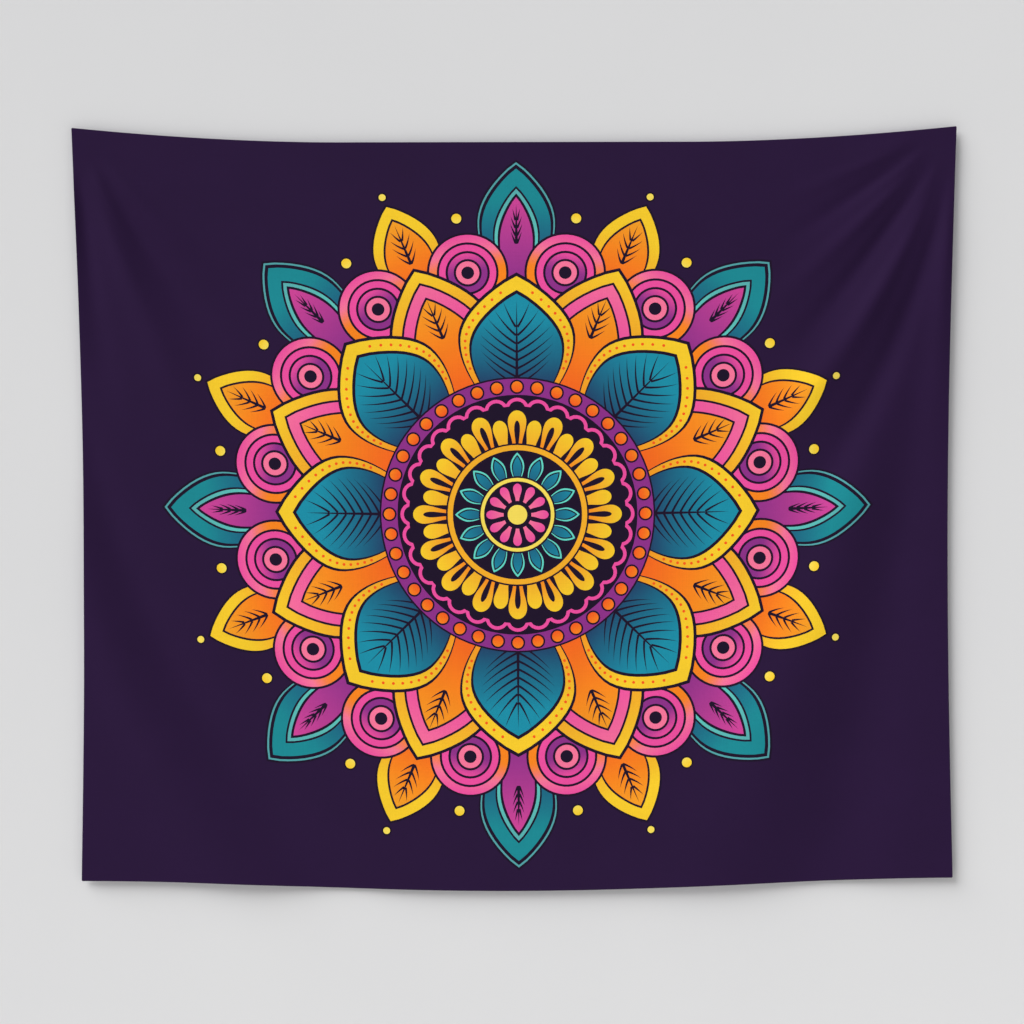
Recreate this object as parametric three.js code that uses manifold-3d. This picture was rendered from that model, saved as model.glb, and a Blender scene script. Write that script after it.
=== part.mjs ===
// A printed cloth wall hanging, hung by two loops on two small adhesive hooks.
// Millimetres, +Z up. The wall is the plane y = 0 and the printed face looks along -Y.
// The origin is on the wall, midway between the two hooks, at the height of their pads.

import * as THREE from 'three';
import { mergeVertices } from 'three/addons/utils/BufferGeometryUtils.js';
import Module from 'manifold-3d';

const wasm = await Module();
wasm.setup();

// The cloth as it is cut and hemmed.
const CUT_WIDTH = 1500;
const CUT_HEIGHT = 1300;
const HEM = 20;
const HEADER = 34;
const STITCH_IN = 17;
const HEADER_STITCH = 3;
const STITCH_WIDE = 0.8;
const SEAM_GAP = 1;

// The outline of the hanging cloth: its corners as [x, z], and how far each edge bows.
const TOP_LEFT = [-764, 22];
const TOP_RIGHT = [764, 25];
const BOTTOM_LEFT = [-746, -1278];
const BOTTOM_RIGHT = [757, -1272];
const TOP_SAG = 26;
const BOTTOM_BOW = 20;
const SIDE_BOW = 12;

// How far the middle of the cloth stands off the wall, and the thickness of each layer.
const STAND_OFF = 12;
const CLOTH = 1;
const DOUBLED = 1.6;
const HEM_FOLD = 0.8;
const THREAD = 0.4;
const GAP = 0.3;

// Folds that run down from the two top corners. Each has the corner it leaves, its angle from the
// vertical, how much that angle grows in a metre, its half width, its height towards the front, and
// the distances from the corner where it is at its highest and where it has died away. The cloth is
// flat as far as HELD_FLAT from a corner, where its loop is sewn on.
const FOLDS = [
  { corner: 'left', angle: 7, turn: 0, wide: 4, high: -7, peak: 180, end: 620 },
  { corner: 'left', angle: 19, turn: 8, wide: 4.5, high: 8, peak: 260, end: 760 },
  { corner: 'left', angle: 30, turn: 8, wide: 4, high: -6, peak: 220, end: 700 },
  { corner: 'left', angle: 43, turn: 0, wide: 5, high: 5, peak: 160, end: 420 },
  { corner: 'left', angle: -8, turn: 20, wide: 2.6, high: -8, peak: 1150, end: 1900 },
  { corner: 'left', angle: -14, turn: 20, wide: 2.8, high: 8, peak: 1100, end: 1900 },
  { corner: 'right', angle: 5, turn: 0, wide: 3.5, high: 6, peak: 240, end: 700 },
  { corner: 'right', angle: 9, turn: 18, wide: 3.2, high: -10, peak: 390, end: 800 },
  { corner: 'right', angle: 20, turn: 16, wide: 3.4, high: 10, peak: 350, end: 780 },
  { corner: 'right', angle: 33, turn: 6, wide: 3, high: -6, peak: 230, end: 620 },
  { corner: 'right', angle: 44, turn: 4, wide: 3, high: 5, peak: 200, end: 520 },
  { corner: 'right', angle: 56, turn: 0, wide: 3, high: -4, peak: 180, end: 420 },
  { corner: 'right', angle: 67, turn: 0, wide: 3, high: 3, peak: 160, end: 360 },
  { corner: 'right', angle: 6, turn: 3, wide: 3.5, high: -7, peak: 1050, end: 1800 },
  { corner: 'right', angle: 14, turn: 3, wide: 4, high: 8, peak: 1050, end: 1800 },
];
const MIDDLE_BULGE = 5;
const HELD_FLAT = 60;

// The hooks, their pads, and the loops behind the top corners.
const HOOK_X = 742;
const PAD = { wide: 18, tall: 30, deep: 1, round: 4 };
const PLATE = { wide: 20, tall: 32, deep: 1.8, round: 5 };
const HOOK = { wide: 8, floor: -8, saddle: -5, tip: 8, throat: 3.5, prong: 2.4 };
const TAPE = { tall: 12, thick: 0.8, half: 19, slopeOut: 13, slopeIn: 8, middle: 4.2 };
const TACK = { wide: 1.6, tall: 10, deep: 0.5 };

// How finely the cloth is divided, across and down.
const COLUMNS = 26;
const ROWS = 22;

const MATERIALS = {
  print: new THREE.MeshStandardMaterial({ color: 0x2b1b3b, roughness: 0.75, metalness: 0 }),
  hem: new THREE.MeshStandardMaterial({ color: 0x2b1b3b, roughness: 0.8, metalness: 0 }),
  thread: new THREE.MeshStandardMaterial({ color: 0x3a2a4c, roughness: 0.6, metalness: 0 }),
  tape: new THREE.MeshStandardMaterial({ color: 0x241a30, roughness: 0.85, metalness: 0 }),
  hook: new THREE.MeshStandardMaterial({ color: 0xf0f0ec, roughness: 0.35, metalness: 0 }),
  pad: new THREE.MeshStandardMaterial({ color: 0xdedcd6, roughness: 0.9, metalness: 0 }),
};

const lerp = (a, b, t) => a + (b - a) * t;

function smooth(t) {
  const u = Math.min(1, Math.max(0, t));
  return u * u * (3 - 2 * u);
}

// How deep the top edge sags at s, from 0 at the left to 1 at the right: steep at both ends, flat between.
function sag(s) {
  const inFromEnd = Math.min(s, 1 - s) / 0.3;
  return inFromEnd >= 1 ? 1 : 1 - (1 - inFromEnd) ** 1.8;
}

// The hanging outline, as [x, z], where s runs from left to right and t from bottom to top.
function outline(s, t) {
  const x = lerp(lerp(BOTTOM_LEFT[0], BOTTOM_RIGHT[0], s), lerp(TOP_LEFT[0], TOP_RIGHT[0], s), t);
  const z = lerp(lerp(BOTTOM_LEFT[1], BOTTOM_RIGHT[1], s), lerp(TOP_LEFT[1], TOP_RIGHT[1], s), t);
  const inward = SIDE_BOW * Math.sin(Math.PI * t) * (1 - 2 * s);
  const topDrop = TOP_SAG * sag(s) * t;
  const bottomDrop = BOTTOM_BOW * Math.sin(Math.PI * s) ** 1.8 * (1 - t);
  return [x + inward, z - topDrop - bottomDrop];
}

// One fold's height at a point, which is a ridge where it is positive and a valley where negative.
function foldHeight(fold, x, z) {
  const corner = fold.corner === 'left' ? TOP_LEFT : TOP_RIGHT;
  const inward = fold.corner === 'left' ? x - corner[0] : corner[0] - x;
  const down = corner[1] - z;
  const distance = Math.hypot(inward, down);
  const angle = THREE.MathUtils.radToDeg(Math.atan2(inward, down));
  const off = (angle - fold.angle - fold.turn * distance / 1000) / fold.wide;
  const grows = smooth((distance - HELD_FLAT) / (fold.peak - HELD_FLAT));
  const fades = 1 - smooth((distance - fold.peak) / (fold.end - fold.peak));
  return fold.high * grows * fades * Math.exp(-off * off);
}

// Where the cloth's middle layer is, as [x, y, z], at a place on the cut cloth.
function drape(across, up) {
  const s = across / CUT_WIDTH;
  const t = up / CUT_HEIGHT;
  const [x, z] = outline(s, t);
  const bulge = MIDDLE_BULGE * Math.sin(Math.PI * s) * Math.sin(Math.PI * t);
  const folds = FOLDS.reduce((sum, fold) => sum + foldHeight(fold, x, z), 0);
  return [x, -STAND_OFF - bulge - folds, z];
}

// Lines from one place to another, closer together near both ends, where the folds are narrow.
function divisions(from, to, count) {
  const lines = [];
  for (let i = 1; i < count; i += 1) {
    const even = i / count;
    const eased = (1 - Math.cos(Math.PI * even)) / 2;
    lines.push(lerp(from, to, (even + eased) / 2));
  }
  return lines;
}

function threadLines(middle) {
  return [middle - STITCH_WIDE / 2, middle + STITCH_WIDE / 2];
}

const HEADER_FOOT = CUT_HEIGHT - HEADER;
const ACROSS = [
  0, ...threadLines(STITCH_IN), HEM, HEM + SEAM_GAP,
  ...divisions(HEM + SEAM_GAP, CUT_WIDTH - HEM - SEAM_GAP, COLUMNS),
  CUT_WIDTH - HEM - SEAM_GAP, CUT_WIDTH - HEM, ...threadLines(CUT_WIDTH - STITCH_IN), CUT_WIDTH,
];
const UP = [
  0, ...threadLines(STITCH_IN), HEM, HEM + SEAM_GAP,
  ...divisions(HEM + SEAM_GAP, HEADER_FOOT - SEAM_GAP, ROWS),
  HEADER_FOOT - SEAM_GAP, HEADER_FOOT, ...threadLines(HEADER_FOOT + HEADER_STITCH),
  CUT_HEIGHT - HEADER / 2, CUT_HEIGHT,
];

// A closed solid on the cloth's own grid, between two places across and two up, from the layer that is
// `front` in front of the middle to the layer that is `back` behind it.
function clothSolid(left, right, foot, head, front, back) {
  const columns = ACROSS.filter((a) => a >= left && a <= right);
  const rows = UP.filter((u) => u >= foot && u <= head);
  const wide = columns.length;
  const tall = rows.length;
  const positions = [];
  for (const shift of [-front, back]) {
    for (const up of rows) {
      for (const across of columns) {
        const [x, y, z] = drape(across, up);
        positions.push(x, y + shift, z);
      }
    }
  }
  const at = (layer, row, column) => (layer * tall + row) * wide + column;
  const faces = [];
  const quad = (a, b, c, d) => faces.push(a, b, c, a, c, d);
  for (let r = 0; r + 1 < tall; r += 1) {
    for (let c = 0; c + 1 < wide; c += 1) {
      quad(at(0, r, c), at(0, r, c + 1), at(0, r + 1, c + 1), at(0, r + 1, c));
      faces.push(at(1, r, c), at(1, r + 1, c + 1), at(1, r, c + 1));
      faces.push(at(1, r, c), at(1, r + 1, c), at(1, r + 1, c + 1));
    }
  }
  for (let r = 0; r + 1 < tall; r += 1) {
    quad(at(0, r, 0), at(0, r + 1, 0), at(1, r + 1, 0), at(1, r, 0));
    quad(at(0, r + 1, wide - 1), at(0, r, wide - 1), at(1, r, wide - 1), at(1, r + 1, wide - 1));
  }
  for (let c = 0; c + 1 < wide; c += 1) {
    quad(at(0, 0, c + 1), at(0, 0, c), at(1, 0, c), at(1, 0, c + 1));
    quad(at(0, tall - 1, c), at(0, tall - 1, c + 1), at(1, tall - 1, c + 1), at(1, tall - 1, c));
  }
  const geometry = new THREE.BufferGeometry();
  geometry.setAttribute('position', new THREE.Float32BufferAttribute(positions, 3));
  geometry.setIndex(faces);
  return geometry;
}

function named(name, geometry, material) {
  const mesh = new THREE.Mesh(geometry, material);
  mesh.name = name;
  return mesh;
}

// The printed cloth below the header, and the turned-in hems behind its three free edges.
function clothPieces() {
  const head = HEADER_FOOT - SEAM_GAP;
  const face = CLOTH / 2;
  const behind = -face - GAP;
  const fold = -behind + HEM_FOLD;
  const side = [HEM + SEAM_GAP, head, behind, fold];
  return [
    named('printed_panel', clothSolid(0, CUT_WIDTH, 0, head, face, face), MATERIALS.print),
    named('left_hem', clothSolid(0, HEM, ...side), MATERIALS.hem),
    named('right_hem', clothSolid(CUT_WIDTH - HEM, CUT_WIDTH, ...side), MATERIALS.hem),
    named('bottom_hem', clothSolid(0, CUT_WIDTH, 0, HEM, behind, fold), MATERIALS.hem),
  ];
}

// The rows of lockstitch, which lie on the back of the three hems and of the header.
function stitchRows() {
  const behind = -(CLOTH / 2 + GAP + HEM_FOLD + GAP);
  const hemLayer = [behind, -behind + THREAD];
  const headerBehind = -(DOUBLED / 2 + GAP);
  const left = threadLines(STITCH_IN);
  const right = threadLines(CUT_WIDTH - STITCH_IN);
  const foot = threadLines(STITCH_IN);
  const head = threadLines(HEADER_FOOT + HEADER_STITCH);
  const side = [HEM + SEAM_GAP, HEADER_FOOT - SEAM_GAP, ...hemLayer];
  return [
    named('left_hem_stitching', clothSolid(...left, ...side), MATERIALS.thread),
    named('right_hem_stitching', clothSolid(...right, ...side), MATERIALS.thread),
    named('bottom_hem_stitching', clothSolid(0, CUT_WIDTH, ...foot, ...hemLayer), MATERIALS.thread),
    named('top_hem_stitching',
      clothSolid(0, CUT_WIDTH, ...head, headerBehind, -headerBehind + THREAD), MATERIALS.thread),
  ];
}

function header() {
  const geometry = clothSolid(0, CUT_WIDTH, HEADER_FOOT, CUT_HEIGHT, DOUBLED / 2, DOUBLED / 2);
  return named('top_hem', geometry, MATERIALS.hem);
}

function extruded(shape, depth, curveSegments) {
  return new THREE.ExtrudeGeometry(shape, { depth, bevelEnabled: false, curveSegments });
}

function roundedPlate(size, back) {
  const w = size.wide / 2;
  const h = size.tall / 2;
  const r = size.round;
  const shape = new THREE.Shape();
  shape.moveTo(-w + r, -h);
  shape.lineTo(w - r, -h);
  shape.absarc(w - r, -h + r, r, -Math.PI / 2, 0, false);
  shape.absarc(w - r, h - r, r, 0, Math.PI / 2, false);
  shape.absarc(-w + r, h - r, r, Math.PI / 2, Math.PI, false);
  shape.absarc(-w + r, -h + r, r, Math.PI, Math.PI * 1.5, false);
  const geometry = extruded(shape, size.deep, 4);
  return geometry.rotateX(Math.PI / 2).translate(0, back, 0);
}

// The J of the hook, as its outline seen from the side, swept across the hook's width. It starts
// inside the plate, so that the two join.
function hookArm(plateFront) {
  const out = -plateFront;
  const inner = out + HOOK.throat;
  const outer = inner + HOOK.prong;
  const bend = 2;
  const shape = new THREE.Shape();
  shape.moveTo(out - PLATE.deep / 2, HOOK.floor);
  shape.lineTo(outer - bend, HOOK.floor);
  shape.absarc(outer - bend, HOOK.floor + bend, bend, -Math.PI / 2, 0, false);
  shape.lineTo(outer, HOOK.tip - HOOK.prong / 2);
  shape.absarc((inner + outer) / 2, HOOK.tip - HOOK.prong / 2, HOOK.prong / 2, 0, Math.PI, false);
  shape.lineTo(inner, HOOK.saddle);
  shape.lineTo(out - PLATE.deep / 2, HOOK.saddle);
  const geometry = extruded(shape, HOOK.wide, 6);
  geometry.translate(0, 0, -HOOK.wide / 2);
  const sideView = new THREE.Matrix4().makeBasis(
    new THREE.Vector3(0, -1, 0), new THREE.Vector3(0, 0, 1), new THREE.Vector3(-1, 0, 0));
  return geometry.applyMatrix4(sideView);
}

function solid(geometry) {
  const bare = geometry.clone();
  bare.deleteAttribute('normal');
  bare.deleteAttribute('uv');
  const merged = mergeVertices(bare, 1e-4);
  const vertProperties = new Float32Array(merged.attributes.position.array);
  const triVerts = new Uint32Array(merged.index.array);
  return new wasm.Manifold(new wasm.Mesh({ numProp: 3, vertProperties, triVerts }));
}

function joined(first, second) {
  const { vertProperties, triVerts } = solid(first).add(solid(second)).getMesh();
  const geometry = new THREE.BufferGeometry();
  geometry.setAttribute('position', new THREE.Float32BufferAttribute(vertProperties, 3));
  geometry.setIndex([...triVerts]);
  return geometry;
}

// A short tape whose ends lie flat on the back of the header and whose middle stands off it, for the
// hook's prong to pass up behind.
function hangingLoop(headerBack) {
  const far = -headerBack;
  const end = far - GAP;
  const start = end - TAPE.thick;
  const middle = TAPE.middle;
  const slopeShift = TAPE.thick * 0.6;
  const shape = new THREE.Shape();
  shape.moveTo(-TAPE.half, start);
  shape.lineTo(-TAPE.slopeOut, start);
  shape.lineTo(-TAPE.slopeIn, middle);
  shape.lineTo(TAPE.slopeIn, middle);
  shape.lineTo(TAPE.slopeOut, start);
  shape.lineTo(TAPE.half, start);
  shape.lineTo(TAPE.half, end);
  shape.lineTo(TAPE.slopeOut - slopeShift, end);
  shape.lineTo(TAPE.slopeIn - slopeShift, middle + TAPE.thick);
  shape.lineTo(-TAPE.slopeIn + slopeShift, middle + TAPE.thick);
  shape.lineTo(-TAPE.slopeOut + slopeShift, end);
  shape.lineTo(-TAPE.half, end);
  const geometry = extruded(shape, TAPE.tall, 1);
  const planView = new THREE.Matrix4().makeBasis(
    new THREE.Vector3(1, 0, 0), new THREE.Vector3(0, -1, 0), new THREE.Vector3(0, 0, -1));
  return geometry.applyMatrix4(planView).translate(0, 0, HOOK.saddle + GAP + TAPE.tall);
}

function barTack(x, loopBack) {
  const geometry = new THREE.BoxGeometry(TACK.wide, TACK.deep, TACK.tall);
  return geometry.translate(x, loopBack + GAP + TACK.deep / 2, HOOK.saddle + GAP + TAPE.tall / 2);
}

function cornerPieces(side, x) {
  const place = new THREE.Group();
  place.position.x = x;
  const plateBack = -PAD.deep - GAP;
  const headerBack = -STAND_OFF + DOUBLED / 2;
  const loopBack = headerBack + GAP + TAPE.thick;
  const tackAt = (TAPE.half + TAPE.slopeOut) / 2;
  const hook = joined(roundedPlate(PLATE, plateBack), hookArm(plateBack - PLATE.deep));
  place.add(
    named(`${side}_adhesive_pad`, roundedPlate(PAD, 0), MATERIALS.pad),
    named(`${side}_wall_hook`, hook, MATERIALS.hook),
    named(`${side}_hanging_loop`, hangingLoop(headerBack), MATERIALS.tape),
    named(`${side}_loop_bar_tack_outer`, barTack(tackAt * Math.sign(x), loopBack), MATERIALS.thread),
    named(`${side}_loop_bar_tack_inner`, barTack(-tackAt * Math.sign(x), loopBack), MATERIALS.thread),
  );
  return place;
}

const hanging = new THREE.Group();
hanging.add(header(), ...clothPieces(), ...stitchRows());
hanging.add(cornerPieces('left', -HOOK_X), cornerPieces('right', HOOK_X));

export default hanging;
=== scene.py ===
"""A printed cloth wall hanging: the looks of each piece, in the CAD's frame and in metres."""

import math

import bpy
import numpy as np
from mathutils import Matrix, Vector
from mathutils.geometry import delaunay_2d_cdt
from mathutils.kdtree import KDTree


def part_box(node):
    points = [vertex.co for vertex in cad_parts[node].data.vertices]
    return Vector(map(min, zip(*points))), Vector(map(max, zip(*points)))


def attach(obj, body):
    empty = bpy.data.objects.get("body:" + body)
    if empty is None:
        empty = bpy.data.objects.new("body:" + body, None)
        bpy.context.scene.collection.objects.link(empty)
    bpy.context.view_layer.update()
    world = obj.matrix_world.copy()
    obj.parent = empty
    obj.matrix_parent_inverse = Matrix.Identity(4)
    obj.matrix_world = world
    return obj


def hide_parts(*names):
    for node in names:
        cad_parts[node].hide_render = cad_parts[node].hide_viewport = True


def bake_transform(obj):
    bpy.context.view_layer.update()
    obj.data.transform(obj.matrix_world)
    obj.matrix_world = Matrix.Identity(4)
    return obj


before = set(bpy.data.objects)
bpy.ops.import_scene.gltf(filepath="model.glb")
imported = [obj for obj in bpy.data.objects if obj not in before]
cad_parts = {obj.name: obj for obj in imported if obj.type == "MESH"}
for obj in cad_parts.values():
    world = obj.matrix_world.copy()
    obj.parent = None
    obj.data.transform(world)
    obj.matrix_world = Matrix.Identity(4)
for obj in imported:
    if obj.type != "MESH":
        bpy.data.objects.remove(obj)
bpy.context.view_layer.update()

MM = 0.001

# ---- print: lengths are millimetres from the middle of the mandala, colours are sRGB
NIGHT = (0.153, 0.071, 0.221)
LINE = (0.108, 0.050, 0.155)
NAVY = (0.150, 0.120, 0.300)
TEAL = (0.100, 0.540, 0.580)
TEAL_PALE = (0.330, 0.640, 0.660)
SEA = (0.100, 0.560, 0.660)
SEA_DEEP = (0.110, 0.390, 0.510)
CYAN = (0.400, 0.850, 0.790)
LEMON = (0.985, 0.880, 0.360)
YELLOW = (0.985, 0.810, 0.170)
AMBER = (0.970, 0.690, 0.160)
ORANGE = (0.990, 0.530, 0.110)
FLAME = (0.970, 0.360, 0.120)
PINK = (0.940, 0.310, 0.630)
ROSE = (0.985, 0.470, 0.620)
PLUM = (0.560, 0.190, 0.540)

CURVE_ERROR = 0.16  # how far a straight piece may leave its curve
OUTLINE = 3  # the dark line round a shape


class Ink:
    """One printed shape: its outline, and colours that run from one point to another."""

    def __init__(self, outline, *colours, start=(0, 0), end=(0, 1)):
        self.outline = np.asarray(outline, float)
        self.colours = [np.array(c, float) for c in colours]
        self.start = np.array(start, float)
        self.end = np.array(end, float)

    def turned(self, matrix):
        return Ink(self.outline @ matrix.T, *self.colours, start=matrix @ self.start, end=matrix @ self.end)

    def colour(self, points):
        along = self.end - self.start
        t = (points - self.start) @ along / (along @ along)
        t = np.clip(t, 0, 1) * (len(self.colours) - 1)
        low = np.clip(t.astype(int), 0, max(len(self.colours) - 2, 0))
        high = np.minimum(low + 1, len(self.colours) - 1)
        inks = np.array(self.colours)
        return inks[low] + (inks[high] - inks[low]) * (t - low)[:, None]


def turn_matrix(degrees):
    """Turns clockwise from upright."""
    c, s = math.cos(math.radians(degrees)), math.sin(math.radians(degrees))
    return np.array([[c, s], [-s, c]])


def around(inks, angles):
    """Copies of the shapes turned to each angle."""
    return [ink.turned(turn_matrix(a)) for a in angles for ink in inks]


def spot(radius, degrees):
    """The point at an angle clockwise from upright."""
    a = math.radians(degrees)
    return np.array([radius * math.sin(a), radius * math.cos(a)])


def longest_step(radius):
    """How long a straight piece of a circle may be."""
    return math.sqrt(8 * radius * CURVE_ERROR)


def disc(centre, radius):
    count = max(4, math.ceil(2 * math.pi * radius / longest_step(radius)))
    return [np.asarray(centre) + spot(radius, 360 * i / count) for i in range(count)]


def scallops(reach, radius, lobes):
    """The outline of equal discs, lobes of them, on a circle of radius reach round the middle."""
    step = 360 / lobes
    count = max(8, math.ceil(math.radians(step) * (reach + radius) / longest_step(radius)))
    points = []
    for lobe in range(lobes):
        for i in range(count):
            off = step * (i / count - 0.5)
            inside = max(radius ** 2 - (reach * math.sin(math.radians(off))) ** 2, 0)
            far = reach * math.cos(math.radians(off)) + math.sqrt(inside)
            points.append(spot(far, lobe * step + off))
    return points


def bezier(a, b, c, t):
    """Points on the curve from a to c that bends towards b."""
    t = np.asarray(t)[:, None]
    a, b, c = (np.asarray(p, float) for p in (a, b, c))
    return (1 - t) ** 2 * a + 2 * t * (1 - t) * b + t * t * c


def drop(base, widest):
    """The half width of a drop along its length: base at its foot, full at widest, round at its head."""
    def profile(u):
        grow = np.clip(u / widest, 0, 1)
        rise = base + (1 - base) * grow * grow * (3 - 2 * grow)
        fall = np.sqrt(np.clip(1 - ((u - widest) / (1 - widest)) ** 2, 0, 1))
        return np.where(u < widest, rise, fall)
    return profile


def lotus(u):
    """The half width of a pointed petal along its length, widest at its middle."""
    foot = 0.5 + 0.5 * np.sin(np.pi * np.clip(u, 0, 0.5))
    return np.where(u < 0.5, foot, np.cos(np.pi * (np.clip(u, 0.5, 1) - 0.5)) ** 0.85)


def spike(u):
    """The half width of a thin blade along its length, full at its foot."""
    return 1 - u ** 1.5


def round_ended(steps):
    """Places along a shape from 0 to 1, closer together towards a round head."""
    return np.sin(np.linspace(0, np.pi / 2, steps)) ** 1.2


NEAR_TIP = 0.97
POINTED = 0.2


def blade(a, b, c, half, profile, steps=12):
    """A shape of that half width along the curve from a to c that bends towards b."""
    pointed = profile(np.array(NEAR_TIP)) < POINTED
    u = np.linspace(0, 1, steps) if pointed else round_ended(steps)
    line = bezier(a, b, c, u)
    slope = bezier(a, b, c, u + 0.01) - bezier(a, b, c, u - 0.01)
    across = np.stack([slope[:, 1], -slope[:, 0]], 1) / np.hypot(*slope.T)[:, None]
    wide = half * profile(u)[:, None]
    left, right = line - across * wide, line + across * wide
    return np.vstack([left, right[-2::-1]])


def straight(a, c, half, profile, steps=12):
    a, c = np.asarray(a, float), np.asarray(c, float)
    return blade(a, (a + c) / 2, c, half, profile, steps)


def every(count, turn=0.0):
    """The angles of that many equal steps round the middle."""
    return turn + np.arange(count) * 360 / count


EIGHT = every(8)
BETWEEN = every(8, 22.5)
GAPS = every(16, 11.25)


def band(inner, outer, colour):
    """A plain ring, with its inside ready for the next motif."""
    layers = ((outer + OUTLINE, LINE), (outer, colour), (inner, LINE))
    return [Ink(disc((0, 0), radius), ink) for radius, ink in layers]


def dots(angles, reach, radius, *colours):
    at = (0, reach)
    dot = Ink(disc(at, radius), *colours, start=(0, reach - radius), end=(0, reach + radius))
    return around([Ink(disc(at, radius + OUTLINE), LINE), dot], angles)


def petal(foot, tip, half, profile, layers):
    """A petal drawn in layers, each inset a little more than the one below it."""
    made = []
    for inset, *colours in layers:
        shape = straight((0, foot), (0, tip - 1.6 * inset), half - inset, profile, 20)
        made.append(Ink(shape, *colours, start=(0, foot), end=(0, tip)))
    return made


def veins(foot, tip, half, pairs):
    """A midrib, and pairs of side veins that curve out towards the petal's tip."""
    long = tip - foot
    made = [Ink(straight((0, foot), (0, foot + 0.92 * long), 2.6, spike, 8), LINE)]
    for pair in range(pairs):
        low = 0.02 + 0.70 * pair / pairs
        high = low + 0.27
        wide = 0.80 * half * float(lotus(np.array(high)))
        for side in (1, -1):
            path = ((1.5, low), (0.55 * wide, low + 0.10), (wide, high))
            points = [(side * x, foot + y * long) for x, y in path]
            made.append(Ink(blade(*points, 1.9, spike, 8), LINE))
    return made


def heart():
    """Twelve pink petals round a pale yellow dot."""
    made = [Ink(disc((0, 0), 58), LINE)]
    made += around(petal(24, 54, 7.5, drop(0.4, 0.7), [(0, ROSE, PINK)]), every(12))
    made.append(Ink(disc((0, 0), 17), LEMON))
    return made


def rosette():
    """Teal, yellow and pink rings of small petals round the heart."""
    made = [Ink(scallops(182, radius, 32), ink) for radius, ink in ((24, LINE), (21, PINK), (15, LINE))]
    made.append(Ink(disc((0, 0), 188), LINE))
    made += around(petal(118, 166, 12.5, drop(0.6, 0.68), [(-OUTLINE, LINE), (0, AMBER, YELLOW)]), GAPS)
    made += around(petal(118, 181, 16, drop(0.5, 0.7), [
        (-OUTLINE, LINE), (0, ORANGE, AMBER, YELLOW), (11, LINE)]), every(16))
    made += band(112, 121, AMBER)
    made += around(petal(62, 108, 12, lotus, [(0, CYAN), (2.5, LINE), (4.5, SEA_DEEP, SEA)]), every(16))
    made += band(58, 64, LEMON)
    return made + heart()


def bead_ring():
    return band(208, 236, PLUM) + dots(every(40), 222, 9.5, FLAME, ORANGE)


def great_petals():
    """Eight teal petals with a dotted yellow border, and eight orange ones behind them."""
    foot, tip, half, border = 190, 414, 97, 16
    made = around(petal(200, 456, 88, lotus, [
        (-4, LINE), (0, FLAME, ORANGE, AMBER, YELLOW), (13, LINE), (16, PLUM, PINK, ROSE), (30, LINE),
        (33, FLAME, ORANGE, AMBER)]) + veins(330, 410, 26, 4), BETWEEN)
    made += around(petal(foot, tip, half, lotus, [
        (-4, LINE), (0, ORANGE, AMBER, YELLOW, YELLOW), (border - 1, LINE),
        (border + 3, NAVY, SEA_DEEP, SEA, SEA)]), EIGHT)
    made += around(veins(222, 386, 80, 8), EIGHT)
    rim = []
    for share in np.linspace(0.3, 0.92, 12):
        wide = (half - border / 2) * float(lotus(np.array(share)))
        high = foot + (tip - 12 - foot) * share
        rim += [Ink(disc((side * wide, high), 2.6), FLAME) for side in (1, -1)]
    return made + around(rim, EIGHT)


def scales():
    """Nested rings, in the gaps between the outer petals."""
    made = []
    for radius, *colours in ((70, LINE), (66, ORANGE, ROSE, PINK), (53, LINE), (49, PINK), (38, LINE),
                             (34, PLUM, PINK), (24, LINE), (20, ROSE), (11, LINE)):
        made.append(Ink(disc((0, 428), radius), *colours, start=(0, 428), end=(0, 428 + radius)))
    return around(made, GAPS)


def outer_petals():
    teal = petal(400, 612, 66, lotus, [
        (-OUTLINE, LINE), (0, TEAL_PALE), (2.5, LINE), (7, NAVY, SEA_DEEP, TEAL, TEAL), (26, LINE),
        (29, CYAN, TEAL_PALE), (34, LINE), (38, PLUM, PINK)])
    gold = petal(400, 578, 56, lotus, [
        (-OUTLINE, LINE), (0, ORANGE, AMBER, YELLOW, YELLOW), (14, LINE), (17, FLAME, ORANGE, AMBER)])
    made = around(teal + veins(470, 545, 13, 4), EIGHT)
    made += around(gold + veins(470, 550, 25, 4), BETWEEN)
    return dots(BETWEEN, 596, 6, LEMON) + dots(GAPS, 524, 8.5, LEMON, YELLOW) + made


def mandala():
    """Every printed shape, the lowest first."""
    return outer_petals() + scales() + great_petals() + bead_ring() + rosette()


# ---- the drape, which repeats the CAD's, in millimetres on the cut cloth
CUT_WIDTH, CUT_HEIGHT = 1500.0, 1300.0
HEM, HEADER, STITCH_IN, HEADER_STITCH = 20.0, 34.0, 17.0, 31.0
CORNERS = {"left": (-764.0, 22.0), "right": (764.0, 25.0)}
BOTTOM_LEFT, BOTTOM_RIGHT = (-746.0, -1278.0), (757.0, -1272.0)
TOP_SAG, BOTTOM_BOW, SIDE_BOW = 26.0, 20.0, 12.0
STAND_OFF, MIDDLE_BULGE, HELD_FLAT = 12.0, 5.0, 60.0
FRONT = 0.5
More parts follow.
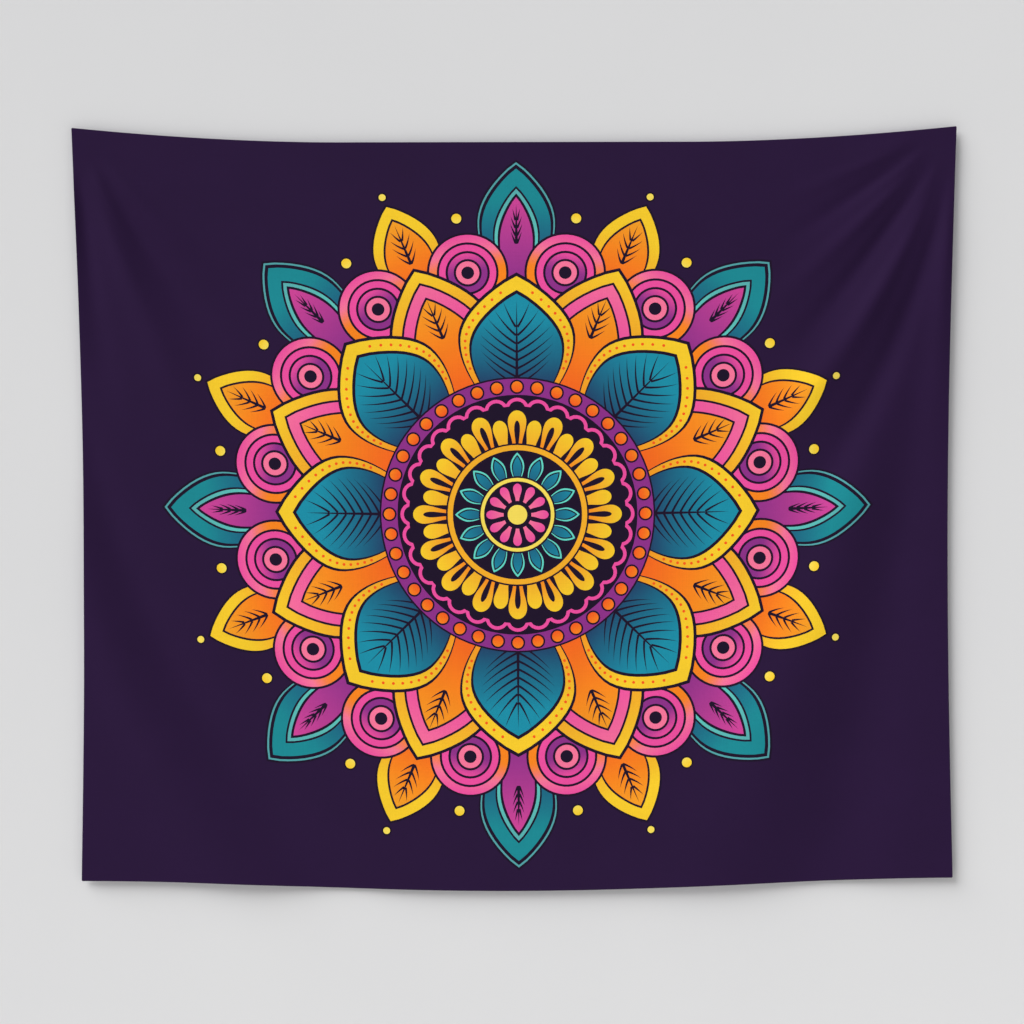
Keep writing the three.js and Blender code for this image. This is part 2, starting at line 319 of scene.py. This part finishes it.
# Each fold: the corner it leaves, its angle from straight down, its turn in a metre and its half width,
# in degrees, and then its height and how far from the corner it peaks and ends.
FOLDS = [
    ("left", 7, 0, 4, -7, 180, 620),
    ("left", 19, 8, 4.5, 8, 260, 760),
    ("left", 30, 8, 4, -6, 220, 700),
    ("left", 43, 0, 5, 5, 160, 420),
    ("left", -8, 20, 2.6, -8, 1150, 1900),
    ("left", -14, 20, 2.8, 8, 1100, 1900),
    ("right", 5, 0, 3.5, 6, 240, 700),
    ("right", 9, 18, 3.2, -10, 390, 800),
    ("right", 20, 16, 3.4, 10, 350, 780),
    ("right", 33, 6, 3, -6, 230, 620),
    ("right", 44, 4, 3, 5, 200, 520),
    ("right", 56, 0, 3, -4, 180, 420),
    ("right", 67, 0, 3, 3, 160, 360),
    ("right", 6, 3, 3.5, -7, 1050, 1800),
    ("right", 14, 3, 4, 8, 1050, 1800),
]
# Short ones beside the corners, written the same way.
PLEATS = [
    ("left", 3, 0, 5, 3, 120, 300),
    ("left", 28, 0, 5, 4, 110, 280),
    ("right", 27, 0, 4.5, 1.8, 110, 260),
    ("right", 52, 0, 4.5, 3.2, 105, 290),
    ("right", 73, 0, 5, 2, 120, 260),
]
PRINT_CENTRE = (753.3, 653.0)


def smooth(t):
    u = np.clip(t, 0, 1)
    return u * u * (3 - 2 * u)


def fold_height(fold, x, z):
    corner, angle, turn, wide, high, peak, end = fold
    inward = (x - CORNERS[corner][0]) * (1 if corner == "left" else -1)
    down = CORNERS[corner][1] - z
    distance = np.hypot(inward, down)
    off = (np.degrees(np.arctan2(inward, down)) - angle - turn * distance / 1000) / wide
    grows = smooth((distance - HELD_FLAT) / (peak - HELD_FLAT))
    fades = 1 - smooth((distance - peak) / (end - peak))
    return high * grows * fades * np.exp(-off * off)


def drape(across, up):
    """Where the middle of the cloth is, in millimetres, at places on the cut cloth."""
    s, t = across / CUT_WIDTH, up / CUT_HEIGHT
    foot = np.multiply.outer(1 - s, BOTTOM_LEFT) + np.multiply.outer(s, BOTTOM_RIGHT)
    head = np.multiply.outer(1 - s, CORNERS["left"]) + np.multiply.outer(s, CORNERS["right"])
    x, z = (foot * (1 - t)[:, None] + head * t[:, None]).T
    end = np.clip(np.minimum(s, 1 - s) / 0.3, 0, 1)
    x = x + SIDE_BOW * np.sin(np.pi * t) * (1 - 2 * s)
    bow = np.clip(np.sin(np.pi * s), 0, 1) ** 1.8
    z = z - TOP_SAG * (1 - (1 - end) ** 1.8) * t - BOTTOM_BOW * bow * (1 - t)
    bulge = MIDDLE_BULGE * np.sin(np.pi * s) * np.sin(np.pi * t)
    folds = sum(fold_height(fold, x, z) for fold in FOLDS + PLEATS)
    return np.stack([x, -STAND_OFF - bulge - folds, z], 1)


def on_cloth(across, up, behind=0.0):
    """Points in metres, at a depth in millimetres behind the printed face."""
    points = drape(np.asarray(across, float), np.asarray(up, float))
    points[:, 1] += behind - FRONT
    return points * MM


# ---- meshes
def linear(srgb):
    c = np.clip(np.asarray(srgb, float), 0, 1)
    return np.where(c <= 0.04045, c / 12.92, ((c + 0.055) / 1.055) ** 2.4)


def new_object(name, points, faces, smooth_shaded=True):
    mesh = bpy.data.meshes.new(name)
    mesh.from_pydata([tuple(p) for p in points], [], [tuple(map(int, f)) for f in faces])
    if smooth_shaded:
        mesh.shade_smooth()
    made = bpy.data.objects.new(name, mesh)
    bpy.context.scene.collection.objects.link(made)
    return made


def give_cloth_uv(mesh, places):
    """The place on the cut cloth, in metres, as a UV map for the weave."""
    layer = mesh.uv_layers.new(name="cloth")
    loops = np.empty(len(mesh.loops), int)
    mesh.loops.foreach_get("vertex_index", loops)
    layer.data.foreach_set("uv", (np.asarray(places)[loops] * MM).astype(np.float32).ravel())


def clipped(outline, axis):
    """The part of an outline on the positive side of an axis."""
    kept = []
    for a, b in zip(outline, np.roll(outline, -1, axis=0)):
        if a[axis] >= 0:
            kept.append(a)
        if (a[axis] >= 0) != (b[axis] >= 0):
            cut = a + (b - a) * a[axis] / (a[axis] - b[axis])
            cut[axis] = 0
            kept.append(cut)
    return np.array(kept).reshape(-1, 2)


def inside(points, outline):
    """Which points lie in an outline."""
    found = np.zeros(len(points), bool)
    low, high = outline.min(0), outline.max(0)
    near = np.nonzero(np.all((points >= low) & (points <= high), axis=1))[0]
    x, z = points[near].T
    hit = np.zeros(len(near), bool)
    for (ax, az), (bx, bz) in zip(outline, np.roll(outline, -1, axis=0)):
        crosses = (az > z) != (bz > z)
        if crosses.any():
            hit ^= crosses & (x < ax + (z - az) * (bx - ax) / (bz - az if bz != az else 1))
    found[near] = hit
    return found


QUARTER = (750.0, 650.0)
FREE_POINTS = 8.0
PRINT_REACH = 560.0


def print_quarter(inks):
    """A quarter of the print as triangles that follow its outlines, and the colour at each corner."""
    points, edges = [], []

    def add_closed_line(line):
        first = len(points)
        points.extend(line)
        edges.extend((first + i, first + i + 1) for i in range(len(line) - 1))
        edges.append((len(points) - 1, first))

    for ink in inks:
        outline = clipped(clipped(np.round(ink.outline, 3), 0), 1)
        if len(outline) > 2:
            add_closed_line(outline)
    tree = KDTree(len(points))
    for i, p in enumerate(points):
        tree.insert((*p, 0), i)
    tree.balance()
    columns, rows = (round(side / FREE_POINTS) for side in QUARTER)
    for r in range(rows + 1):
        for c in range(columns + 1):
            inset = 0.5 if r % 2 and 0 < c < columns else 0
            p = (QUARTER[0] * (c + inset) / columns, QUARTER[1] * r / rows)
            coarse = math.hypot(*p) < PRINT_REACH and (r % 2 or c % 2)
            if not coarse and tree.find((*p, 0))[2] > 4:
                points.append(p)
    add_closed_line([(0, 0), (QUARTER[0], 0), QUARTER, (0, QUARTER[1])])
    spots, _, triangles = delaunay_2d_cdt([Vector(p) for p in points], edges, [], 0, 0.15, False)[:3]
    spots = np.array([tuple(p) for p in spots])
    triangles = np.array(triangles)
    middles = spots[triangles].mean(1)
    owner = np.full(len(triangles), -1)
    for k, ink in enumerate(inks):
        owner[inside(middles, ink.outline)] = k
    colours = np.tile(np.array(NIGHT), (len(triangles), 3, 1))
    for k in np.unique(owner[owner >= 0]):
        mine = owner == k
        colours[mine] = inks[k].colour(spots[triangles[mine]].reshape(-1, 2)).reshape(-1, 3, 3)
    return spots, triangles, linear(colours)


EDGE_ROUND = 1.05
KEPT_WIDE, KEPT_HIGH = 640, 610  # the print keeps its size as far as this from its middle


def stretched(distance, still, edge, whole):
    """Leaves the print as it is as far as still, and takes the plain cloth beyond it out to the edge."""
    beyond = (distance - still) * (edge - still) / (whole - still)
    return np.where(distance > still, still + beyond, distance)


def printed_faces(inks):
    """The front of the cloth, and its back, where the print shows through."""
    spots, triangles, colours = print_quarter(inks)
    places, faces, corner_colours = [], [], []
    for right in (1, -1):
        for over in (1, -1):
            edge_x = (CUT_WIDTH - PRINT_CENTRE[0] if right > 0 else PRINT_CENTRE[0]) - EDGE_ROUND
            edge_z = (CUT_HEIGHT - PRINT_CENTRE[1] if over > 0 else PRINT_CENTRE[1]) - EDGE_ROUND
            x = PRINT_CENTRE[0] + right * stretched(spots[:, 0], KEPT_WIDE, edge_x, QUARTER[0])
            z = PRINT_CENTRE[1] + over * stretched(spots[:, 1], KEPT_HIGH, edge_z, QUARTER[1])
            flip = slice(None, None, right * over)
            faces.append(triangles[:, flip] + sum(map(len, places)))
            corner_colours.append(colours[:, flip])
            places.append(np.stack([x, z], 1))
    places, faces = np.concatenate(places), np.concatenate(faces)
    _, first, joined = np.unique(np.round(places, 2), axis=0, return_index=True, return_inverse=True)
    places, faces = places[first], joined.reshape(-1)[faces]
    whole = (np.diff(np.sort(faces, axis=1), axis=1) > 0).all(1)
    faces, corner_colours = faces[whole], np.concatenate(corner_colours)[whole]
    made = []
    for name, behind, order in (("printed_cloth", 0.0, 1), ("cloth_reverse", 0.9, -1)):
        side = new_object(name, on_cloth(*places.T, behind), faces[:, ::order])
        inks = corner_colours[:, ::order].reshape(-1, 3)
        rgba = np.concatenate([inks, np.ones((len(inks), 1))], 1)
        layer = side.data.color_attributes.new("print", "FLOAT_COLOR", "CORNER")
        layer.data.foreach_set("color", rgba.astype(np.float32).ravel())
        give_cloth_uv(side.data, places)
        made.append(side)
    return made


def place_at(edge, inward, along):
    """A place on the cut cloth, from how far in from an edge and how far along it."""
    inward, along = np.broadcast_arrays(inward, along)
    return {
        "left": (inward, along),
        "right": (CUT_WIDTH - inward, along),
        "bottom": (along, inward),
        "top": (along, CUT_HEIGHT - inward),
    }[edge]


STITCH_EVERY, STITCH_LONG = 4.0, 3.1
HEM_BACK = 2 * EDGE_ROUND


def hem_fold(edge, wide, stitch_in):
    """The cloth's edge turned over to the back: a round fold, and a flat strip that dips at each stitch."""
    length = CUT_WIDTH if edge in ("top", "bottom") else CUT_HEIGHT
    half_turn = [(EDGE_ROUND * (1 - math.sin(a)), EDGE_ROUND * (1 - math.cos(a)))
                 for a in np.linspace(0, math.pi, 9)]
    lines = np.unique([2.5, 6, 10, stitch_in - 1.5, stitch_in, stitch_in + 1.2, wide - 0.5])
    flat = [(i, HEM_BACK) for i in lines]
    turned = [(wide, HEM_BACK - 0.15), (wide + 0.15, HEM_BACK - 0.45), (wide, HEM_BACK - 0.8)]
    profile = np.array(half_turn + flat + turned)
    along = np.linspace(EDGE_ROUND, length - EDGE_ROUND, round(length / STITCH_EVERY) * 2 + 1)
    inward, depth = (np.tile(profile[:, k], (len(along), 1)) for k in (0, 1))
    along = np.tile(along[:, None], (1, len(profile)))
    ripple = 0.5 + 0.5 * np.cos(2 * np.pi * along / STITCH_EVERY)
    dip = np.exp(-((inward - stitch_in) / 1.6) ** 2) * ripple
    depth = depth - np.where(inward > 2, 0.22 * dip, 0)
    if edge in ("left", "right"):
        corner = (along < HEM + 1) | (along > CUT_HEIGHT - HEADER - 1)
        depth = np.where(corner & (inward > EDGE_ROUND), depth - 0.6, depth)
    across, up = place_at(edge, inward.ravel(), along.ravel())
    points = on_cloth(across, up, depth.ravel())
    count = len(profile)
    faces = [(r * count + c, r * count + c + 1, (r + 1) * count + c + 1, (r + 1) * count + c)
             for r in range(len(along) - 1) for c in range(count - 1)]
    if edge in ("right", "bottom"):
        faces = [f[::-1] for f in faces]
    made = new_object(f"{edge}_hem_fold", points, faces)
    give_cloth_uv(made.data, np.stack([across, up], 1))
    return made


def thread_piece(name, runs, radius=0.28, around_it=6):
    """One mesh of many short stitches. Each run is the points of one stitch, in metres."""
    points, faces = [], []
    for run in runs:
        run = np.asarray(run)
        along = np.gradient(run, axis=0)
        along /= np.linalg.norm(along, axis=1)[:, None]
        side = np.cross(along, (0, 1, 0))
        side /= np.linalg.norm(side, axis=1)[:, None]
        up = np.cross(side, along)
        first = len(points)
        shape = np.sqrt(np.clip(1 - np.linspace(-0.97, 0.97, len(run)) ** 4, 0, 1))
        for p, s, u, r in zip(run, side, up, shape * radius * MM):
            for k in range(around_it):
                a = 2 * math.pi * k / around_it
                points.append(p + (s * math.cos(a) + u * math.sin(a)) * r)
        for i in range(len(run) - 1):
            for k in range(around_it):
                a, b = first + i * around_it + k, first + i * around_it + (k + 1) % around_it
                faces.append((a, b, b + around_it, a + around_it))
        faces.append(tuple(range(first, first + around_it))[::-1])
        last = first + (len(run) - 1) * around_it
        faces.append(tuple(range(last, last + around_it)))
    return new_object(name, points, faces)


def lockstitch(edge, stitch_in, low, high):
    """A row of stitches along a hem, each sunk at its ends."""
    count = round((high - low) / STITCH_EVERY)
    starts = low + (high - low) * (np.arange(count) + 0.5) / count
    steps = np.linspace(-0.5, 0.5, 5)
    sunk = HEM_BACK + 0.12 - 0.35 * (2 * steps) ** 4
    runs = []
    for middle in starts:
        across, up = place_at(edge, np.full(5, stitch_in), middle + steps * STITCH_LONG)
        runs.append(on_cloth(across, up, sunk))
    return thread_piece(f"{edge}_lockstitch", runs)


def refined_copy(node, name, bevel):
    """A CAD node's solid with its edges rounded."""
    source = bpy.data.objects[node]
    made = bpy.data.objects.new(name, source.data.copy())
    bpy.context.scene.collection.objects.link(made)
    made.data.materials.clear()
    weld = made.modifiers.new("weld", "WELD")
    weld.merge_threshold = 1e-5
    rounding = made.modifiers.new("bevel", "BEVEL")
    rounding.width = bevel * MM
    rounding.segments = 3
    rounding.limit_method = "ANGLE"
    rounding.angle_limit = math.radians(28)
    rounding.harden_normals = False
    graph = bpy.context.evaluated_depsgraph_get()
    final = bpy.data.meshes.new_from_object(made.evaluated_get(graph), depsgraph=graph)
    made.modifiers.clear()
    made.data = final
    final.shade_smooth()
    return made


def bar_tack(node, name):
    """A dense zigzag of thread across the end of a loop."""
    low, high = (np.array(corner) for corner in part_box(node))
    count = 15
    heights = np.linspace(low[2] + 0.0005, high[2] - 0.0005, count)
    xs = (low[0] + 0.0002, high[0] - 0.0002)
    depth = (low[1] + high[1]) / 2
    runs = []
    for i in range(count - 1):
        a = np.array([xs[i % 2], depth, heights[i]])
        b = np.array([xs[(i + 1) % 2], depth, heights[i + 1]])
        t = np.linspace(0, 1, 5)[:, None]
        bow = np.array([0, 0.00012, 0]) * (1 - (2 * t - 1) ** 2)
        runs.append(a + (b - a) * t + bow)
    return thread_piece(name, runs, radius=0.3)


# ---- materials
class Nodes:
    """Short calls for building one material's nodes."""

    def __init__(self, name):
        self.material = bpy.data.materials.new(name)
        self.material.use_nodes = True
        self.tree = self.material.node_tree
        self.shader = self.tree.nodes["Principled BSDF"]

    def add(self, kind, **settings):
        node = self.tree.nodes.new(kind)
        for key, value in settings.items():
            setattr(node, key, value)
        return node

    def put(self, socket, value):
        if isinstance(value, bpy.types.NodeSocket):
            self.tree.links.new(value, socket)
        else:
            socket.default_value = value

    def maths(self, operation, a, b=0.5, c=0.5):
        node = self.add("ShaderNodeMath", operation=operation)
        for socket, value in zip(node.inputs, (a, b, c)):
            self.put(socket, value)
        return node.outputs[0]

    def scaled(self, value, low, high):
        """Takes a value from 0 to 1 to the range from low to high."""
        return self.maths("MULTIPLY_ADD", value, high - low, low)

    def mix(self, share, a, b, blend="MIX"):
        node = self.add("ShaderNodeMix", data_type="RGBA", blend_type=blend)
        for socket, value in ((node.inputs[0], share), (node.inputs[6], a), (node.inputs[7], b)):
            self.put(socket, value)
        return node.outputs[2]

    def noise(self, vector, scale, detail=3.0):
        node = self.add("ShaderNodeTexNoise")
        self.put(node.inputs["Vector"], vector)
        node.inputs["Scale"].default_value = scale
        node.inputs["Detail"].default_value = detail
        node.inputs["Roughness"].default_value = 0.55
        return node.outputs["Fac"]

    def stretch(self, vector, scale):
        node = self.add("ShaderNodeMapping")
        self.put(node.inputs["Vector"], vector)
        node.inputs["Scale"].default_value = scale
        return node.outputs[0]

    def cloth_place(self):
        node = self.add("ShaderNodeUVMap", uv_map="cloth")
        return node.outputs[0]

    def object_place(self):
        return self.add("ShaderNodeTexCoord").outputs["Object"]

    def bump(self, height, distance, strength=1.0):
        node = self.add("ShaderNodeBump")
        node.inputs["Strength"].default_value = strength
        node.inputs["Distance"].default_value = distance
        self.put(node.inputs["Height"], height)
        self.put(self.shader.inputs["Normal"], node.outputs[0])

    def weave(self, place, pitch):
        """The height of a plain weave: warp and weft threads that pass over and under."""
        parts = self.add("ShaderNodeSeparateXYZ")
        self.put(parts.inputs[0], place)
        waves = []
        for axis in (0, 1):
            turn = self.maths("MULTIPLY", parts.outputs[axis], math.pi / pitch)
            waves.append(self.maths("ABSOLUTE", self.maths("SINE", turn)))
        check = self.add("ShaderNodeTexChecker")
        self.put(check.inputs["Vector"], place)
        check.inputs["Scale"].default_value = 1 / pitch
        node = self.add("ShaderNodeMix", data_type="FLOAT")
        self.put(node.inputs[0], check.outputs["Fac"])
        self.put(node.inputs[2], waves[0])
        self.put(node.inputs[3], waves[1])
        return node.outputs[0]


def slubs(n, place):
    """Threads a little thicker or thinner than their neighbours, both ways across the cloth."""
    down = n.noise(n.stretch(place, (900, 14, 1)), 1.0, 2)
    across = n.noise(n.stretch(place, (14, 900, 1)), 1.0, 2)
    return n.maths("MULTIPLY", n.maths("ADD", down, across), 0.5)


def cloth_material(name, colour_of, roughness=0.8):
    n = Nodes(name)
    place = n.cloth_place()
    weave = n.weave(place, 0.0008)
    uneven = slubs(n, place)
    cloudy = n.noise(place, 9.0, 2)
    colour = colour_of(n, place)
    # The colour is a little darker where the weave's threads dip: painted shade between the threads. The
    # slubs and the cloudy noise are the cloth's own uneven tone.
    tone = n.maths("ADD", n.scaled(uneven, -0.12, 0.12), n.scaled(weave, 0.94, 1.02))
    tone = n.maths("ADD", tone, n.scaled(cloudy, -0.09, 0.07))
    shade = n.add("ShaderNodeCombineColor")
    for socket in shade.inputs[:3]:
        n.put(socket, tone)
    n.put(n.shader.inputs["Base Color"], n.mix(1.0, colour, shade.outputs[0], "MULTIPLY"))
    n.put(n.shader.inputs["Roughness"], n.scaled(uneven, roughness - 0.08, roughness + 0.08))
    n.shader.inputs["Specular IOR Level"].default_value = 0.12
    n.shader.inputs["Sheen Weight"].default_value = 0.02
    n.shader.inputs["Sheen Roughness"].default_value = 0.45
    height = n.maths("ADD", n.maths("MULTIPLY", weave, 0.6), uneven)
    n.bump(height, 0.00012, 0.6)
    return n.material


def printed(n, place):
    return n.add("ShaderNodeAttribute", attribute_name="print").outputs["Color"]


def shows_through(n, place):
    ink = n.add("ShaderNodeAttribute", attribute_name="print").outputs["Color"]
    share = n.scaled(n.noise(place, 260.0, 2), 0.26, 0.42)
    return n.mix(share, (*linear((0.70, 0.665, 0.735)), 1), ink)


def plain_night(n, place):
    return (*linear(NIGHT), 1)


def hard_material(name, colour, roughness, grain, bump, mottle=0.06):
    n = Nodes(name)
    place = n.object_place()
    fine = n.noise(place, grain, 4)
    broad = n.noise(place, grain / 12, 2)
    base = np.array([*linear(colour), 1])
    dark = base * (1 - mottle, 1 - mottle, 1 - mottle, 1)
    n.put(n.shader.inputs["Base Color"], n.mix(broad, tuple(base), tuple(dark)))
    n.put(n.shader.inputs["Roughness"], n.scaled(fine, roughness - 0.06, roughness + 0.06))
    n.bump(fine, bump, 0.5)
    return n.material


def thread_material(name, colour):
    """Twisted thread: fine slanting lines along each stitch, each darkened in its groove as painted shade.
    """
    n = Nodes(name)
    wave = n.add("ShaderNodeTexWave", bands_direction="DIAGONAL")
    n.put(wave.inputs["Vector"], n.object_place())
    wave.inputs["Scale"].default_value = 900
    wave.inputs["Distortion"].default_value = 1.5
    base = np.array([*linear(colour), 1])
    # The groove of each slanting line is darker: painted shade in the thread's twist.
    dark = base * (0.72, 0.72, 0.72, 1)
    n.put(n.shader.inputs["Base Color"], n.mix(wave.outputs["Fac"], tuple(dark), tuple(base)))
    n.put(n.shader.inputs["Roughness"], n.scaled(wave.outputs["Fac"], 0.45, 0.6))
    n.shader.inputs["Sheen Weight"].default_value = 0.2
    n.bump(wave.outputs["Fac"], 0.0001, 0.6)
    return n.material


def tape_material(name, colour):
    """Herringbone tape: a twill that slants one way and then the other, darker in the troughs between its
    ribs as painted shade.
    """
    n = Nodes(name)
    place = n.object_place()
    parts = n.add("ShaderNodeSeparateXYZ")
    n.put(parts.inputs[0], place)
    fold = n.maths("PINGPONG", parts.outputs[2], 0.0016)
    slant = n.maths("ADD", parts.outputs[0], fold)
    rib = n.maths("SINE", n.maths("MULTIPLY", slant, 2 * math.pi / 0.0009))
    rib = n.scaled(rib, 0.5, 1.0)
    base = np.array([*linear(colour), 1])
    # Darker in the troughs of the ribs: painted shade in the twill.
    n.put(n.shader.inputs["Base Color"], n.mix(rib, tuple(base * (0.6, 0.6, 0.6, 1)), tuple(base)))
    n.put(n.shader.inputs["Roughness"], n.scaled(rib, 0.9, 0.75))
    n.shader.inputs["Sheen Weight"].default_value = 0.2
    n.bump(rib, 0.00015, 0.8)
    return n.material


PRINT_CLOTH = cloth_material("printed_cloth_weave", printed)
REVERSE_CLOTH = cloth_material("reverse_weave", shows_through, roughness=0.82)
HEM_CLOTH = cloth_material("hem_weave", plain_night)
THREAD = thread_material("sewing_thread", (0.27, 0.19, 0.36))
TAPE = tape_material("herringbone_tape", (0.17, 0.12, 0.23))
PLASTIC = hard_material("moulded_plastic", (0.93, 0.93, 0.91), 0.38, 900, 0.00004, 0.03)
FOAM = hard_material("adhesive_foam", (0.87, 0.86, 0.82), 0.9, 2600, 0.0002, 0.12)


def finished(piece, material, node):
    piece.data.materials.clear()
    piece.data.materials.append(material)
    if node:
        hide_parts(node)
    return piece


front, back = printed_faces(mandala())
finished(front, PRINT_CLOTH, "printed_panel")
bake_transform(front)
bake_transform(finished(back, REVERSE_CLOTH, None))

for edge, wide, stitch_in in (("left", HEM, STITCH_IN), ("right", HEM, STITCH_IN),
                              ("bottom", HEM, STITCH_IN), ("top", HEADER, HEADER_STITCH)):
    low = 6.0 if edge in ("top", "bottom") else HEM + 3
    high = CUT_WIDTH - 6.0 if edge in ("top", "bottom") else CUT_HEIGHT - HEADER - 3
    fold = finished(hem_fold(edge, wide, stitch_in), HEM_CLOTH,
                    f"{edge}_hem")
    row = finished(lockstitch(edge, stitch_in, low, high), THREAD, f"{edge}_hem_stitching")
    for piece in (fold, row):
        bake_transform(piece)

for side in ("left", "right"):
    loop = refined_copy(f"{side}_hanging_loop", f"{side}_tape_loop", 0.3)
    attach(finished(loop, TAPE, f"{side}_hanging_loop"), "header")
    for where in ("outer", "inner"):
        node = f"{side}_loop_bar_tack_{where}"
        tack = bar_tack(node, f"{side}_{where}_bar_tack")
        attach(finished(tack, THREAD, node), "header")
    hook = refined_copy(f"{side}_wall_hook", f"{side}_moulded_hook", 0.5)
    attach(finished(hook, PLASTIC, f"{side}_wall_hook"), "wall_hooks")
    pad = refined_copy(f"{side}_adhesive_pad", f"{side}_foam_pad", 0.2)
    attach(finished(pad, FOAM, f"{side}_adhesive_pad"), "wall_hooks")


# ---- the room, the lights and the camera
def plane(name, corners):
    made = new_object(name, corners, [(0, 1, 2, 3)], smooth_shaded=False)
    return made


def wall_material():
    """A pale matt wall that can be seen through from behind."""
    n = Nodes("pale_wall")
    tone = n.noise(n.object_place(), 1.5, 3)
    n.put(n.shader.inputs["Base Color"], n.mix(tone, (0.70, 0.70, 0.715, 1), (0.74, 0.74, 0.75, 1)))
    n.shader.inputs["Roughness"].default_value = 0.9
    clear = n.add("ShaderNodeBsdfTransparent")
    sides = n.add("ShaderNodeNewGeometry")
    either = n.add("ShaderNodeMixShader")
    n.put(either.inputs[0], sides.outputs["Backfacing"])
    n.put(either.inputs[1], n.shader.outputs[0])
    n.put(either.inputs[2], clear.outputs[0])
    n.put(n.tree.nodes["Material Output"].inputs["Surface"], either.outputs[0])
    return n.material


WALL_BEHIND, FLOOR_DOWN = 0.0012, -1.9
wall_corners = ((-6, FLOOR_DOWN), (6, FLOOR_DOWN), (6, 3), (-6, 3))
wall = plane("wall", [(x, WALL_BEHIND, z) for x, z in wall_corners])
wall.data.materials.append(wall_material())
# Only the camera sees the wall, so that the back of the cloth is lit when it is looked at from behind.
wall.visible_diffuse = False
wall.visible_glossy = False
wall.visible_transmission = False
wall.visible_shadow = False
floor = plane("floor", [(x, y, FLOOR_DOWN) for x, y in ((-9, -9), (9, -9), (9, 9), (-9, 9))])
floor.data.materials.append(hard_material("pale_floor", (0.86, 0.86, 0.85), 0.8, 60, 0.0005, 0.04))

scene = bpy.context.scene


def light(name, kind, energy, at, towards):
    lamp = bpy.data.lights.new(name, kind)
    lamp.energy = energy
    made = bpy.data.objects.new(name, lamp)
    made.location = at
    made.rotation_euler = (Vector(towards) - Vector(at)).to_track_quat("-Z", "Y").to_euler()
    scene.collection.objects.link(made)
    return lamp


MIDDLE = (0, 0, -0.63)
light("key", "SUN", 3.3, (-6.0, -4.2, 6.07), MIDDLE).angle = 0.85
light("behind", "AREA", 110, (2.4, 4.4, 1.6), MIDDLE).size = 3.0

world = bpy.data.worlds.new("studio")
world.use_nodes = True
world.node_tree.nodes["Background"].inputs["Color"].default_value = (1, 1, 1, 1)
world.node_tree.nodes["Background"].inputs["Strength"].default_value = 0.33
scene.world = world
scene.view_settings.view_transform = "Standard"

lens = bpy.data.cameras.new("camera")
lens.sensor_width = 36
lens.lens = 122
camera = bpy.data.objects.new("camera", lens)
camera.location = (-0.0034, -6.0, -0.641)
camera.rotation_euler = (math.radians(90), 0, 0)
scene.collection.objects.link(camera)
scene.camera = camera
